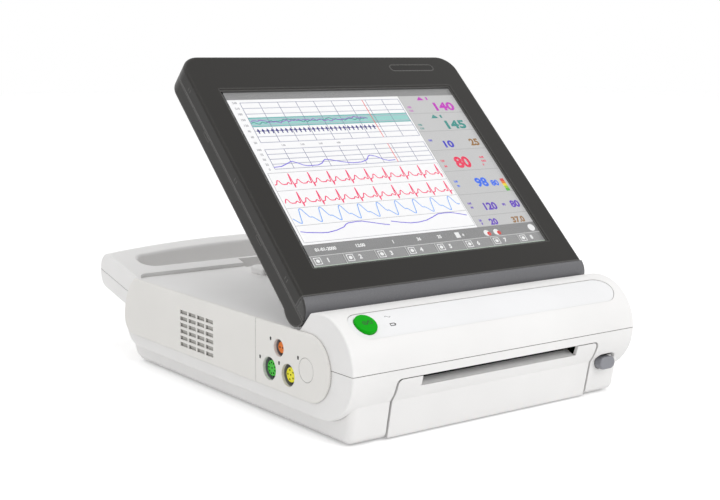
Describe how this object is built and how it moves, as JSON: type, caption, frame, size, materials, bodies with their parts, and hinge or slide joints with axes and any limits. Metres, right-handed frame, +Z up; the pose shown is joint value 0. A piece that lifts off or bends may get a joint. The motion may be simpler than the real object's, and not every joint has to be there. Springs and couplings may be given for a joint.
{
  "type": "fetal monitor",
  "caption": "Desk-top fetal monitor with a tilting screen on a rounded white housing, a paper printer drawer in front, probe sockets at the side and a carrying handle behind.",
  "frame": {"origin": "centre of the overall box, at the level of the feet's undersides", "axes": "+X to the right as seen from the front, +Y to the back and the handle, +Z up"},
  "size_m": [0.3, 0.4168, 0.2779],
  "materials": {
    "white_housing": "fine satin",
    "warm_grey_panel": "fine satin",
    "grey_plastic": "satin",
    "dark_plastic": "satin",
    "dark_gloss": "semi gloss",
    "clear_label": "gloss",
    "green_button": "semi gloss",
    "orange_plastic": "semi gloss",
    "green_plastic": "semi gloss",
    "yellow_plastic": "semi gloss",
    "glass": "polished",
    "lcd": "matt screen",
    "circuit_board": "solder mask",
    "rubber": "matt",
    "steel": "plated",
    "aluminium": "extruded",
    "brass": "plated",
    "gear_plastic": "moulded",
    "paper": "uncoated"
  },
  "bodies": {
    "base": {"upper_housing": "white_housing", "lower_housing": "white_housing", "left_socket_panel": "warm_grey_panel", "right_socket_panel": "warm_grey_panel", "left_vent_panel": "warm_grey_panel", "right_vent_panel": "warm_grey_panel", "left_socket_sleeves": "grey_plastic", "right_socket_sleeves": "grey_plastic", "orange_socket_insert": "orange_plastic", "green_socket_insert": "green_plastic", "yellow_socket_insert": "yellow_plastic", "right_socket_inserts": "grey_plastic", "blank_plug": "warm_grey_panel", "cuff_hose_fitting": "dark_plastic", "label_plate": "clear_label", "light_pipes": "clear_label", "main_board": "circuit_board", "key_board": "circuit_board", "probe_board": "circuit_board", "vital_signs_board": "circuit_board", "power_supply": "circuit_board", "battery_pack": "dark_plastic", "battery_cover": "white_housing", "speaker": "dark_plastic", "mains_inlet": "dark_plastic", "inlet_blades": "brass", "network_port": "steel", "earth_stud": "brass", "printer_chassis": "steel", "print_head": "dark_plastic", "head_heatsink": "aluminium", "head_springs": "steel", "stepper_motor": "steel", "drawer_rails": "grey_plastic", "hinge_brackets": "steel", "catch_block": "white_housing", "rubber_feet": "rubber", "housing_screws": "steel", "power_dome": "rubber", "release_spring": "steel"},
    "screen": {"front_bezel": "dark_plastic", "chin_trim": "dark_gloss", "rear_cover": "dark_plastic", "lcd_panel": "lcd", "display_glass": "glass", "display_board": "circuit_board", "alarm_lamp": "dark_gloss", "hinge_pins": "steel", "hinge_leaves": "steel", "screen_screws": "steel"},
    "power_button": {"power_button": "green_button"},
    "release_button": {"release_button": "grey_plastic"},
    "paper_drawer": {"drawer_front": "white_housing", "paper_tray": "white_housing", "paper_pack": "paper"},
    "platen": {"platen_shaft": "steel", "platen_rubber": "rubber", "platen_gear": "gear_plastic"},
    "idler": {"idler_gear": "gear_plastic"},
    "motor_rotor": {"motor_pinion": "brass"}
  },
  "joints": [
    {"name": "screen_tilt", "type": "hinge", "parent": "base", "child": "screen", "pos_m": [0, -0.1355, 0.0949], "axis": [1, 0, 0], "range_deg": [-43.7, 16.3]},
    {"name": "power_press", "type": "slide", "parent": "base", "child": "power_button", "axis": [0, 0.5592, -0.829], "range_m": [0, 0.0012], "stiffness_N_per_m": 800, "springref_m": -0.001, "deforming": ["power_dome"]},
    {"name": "release_press", "type": "slide", "parent": "base", "child": "release_button", "axis": [0, 1, 0], "range_m": [0, 0.003], "stiffness_N_per_m": 600, "springref_m": -0.002, "deforming": ["release_spring"]},
    {"name": "drawer_slide", "type": "slide", "parent": "base", "child": "paper_drawer", "axis": [0, -1, 0], "range_m": [0, 0.11]},
    {"name": "platen_spin", "type": "hinge", "parent": "paper_drawer", "child": "platen", "pos_m": [0, -0.1816, 0.0399], "axis": [1, 0, 0], "continuous": true},
    {"name": "idler_spin", "type": "hinge", "parent": "base", "child": "idler", "pos_m": [0, -0.1636, 0.0399], "axis": [1, 0, 0], "continuous": true},
    {"name": "motor_spin", "type": "hinge", "parent": "base", "child": "motor_rotor", "pos_m": [0, -0.1486, 0.0399], "axis": [1, 0, 0], "continuous": true}
  ],
  "couplings": [
    {"joint": "idler_spin", "follows": "platen_spin", "ratio": -0.8},
    {"joint": "motor_spin", "follows": "platen_spin", "ratio": 1.6}
  ]
}
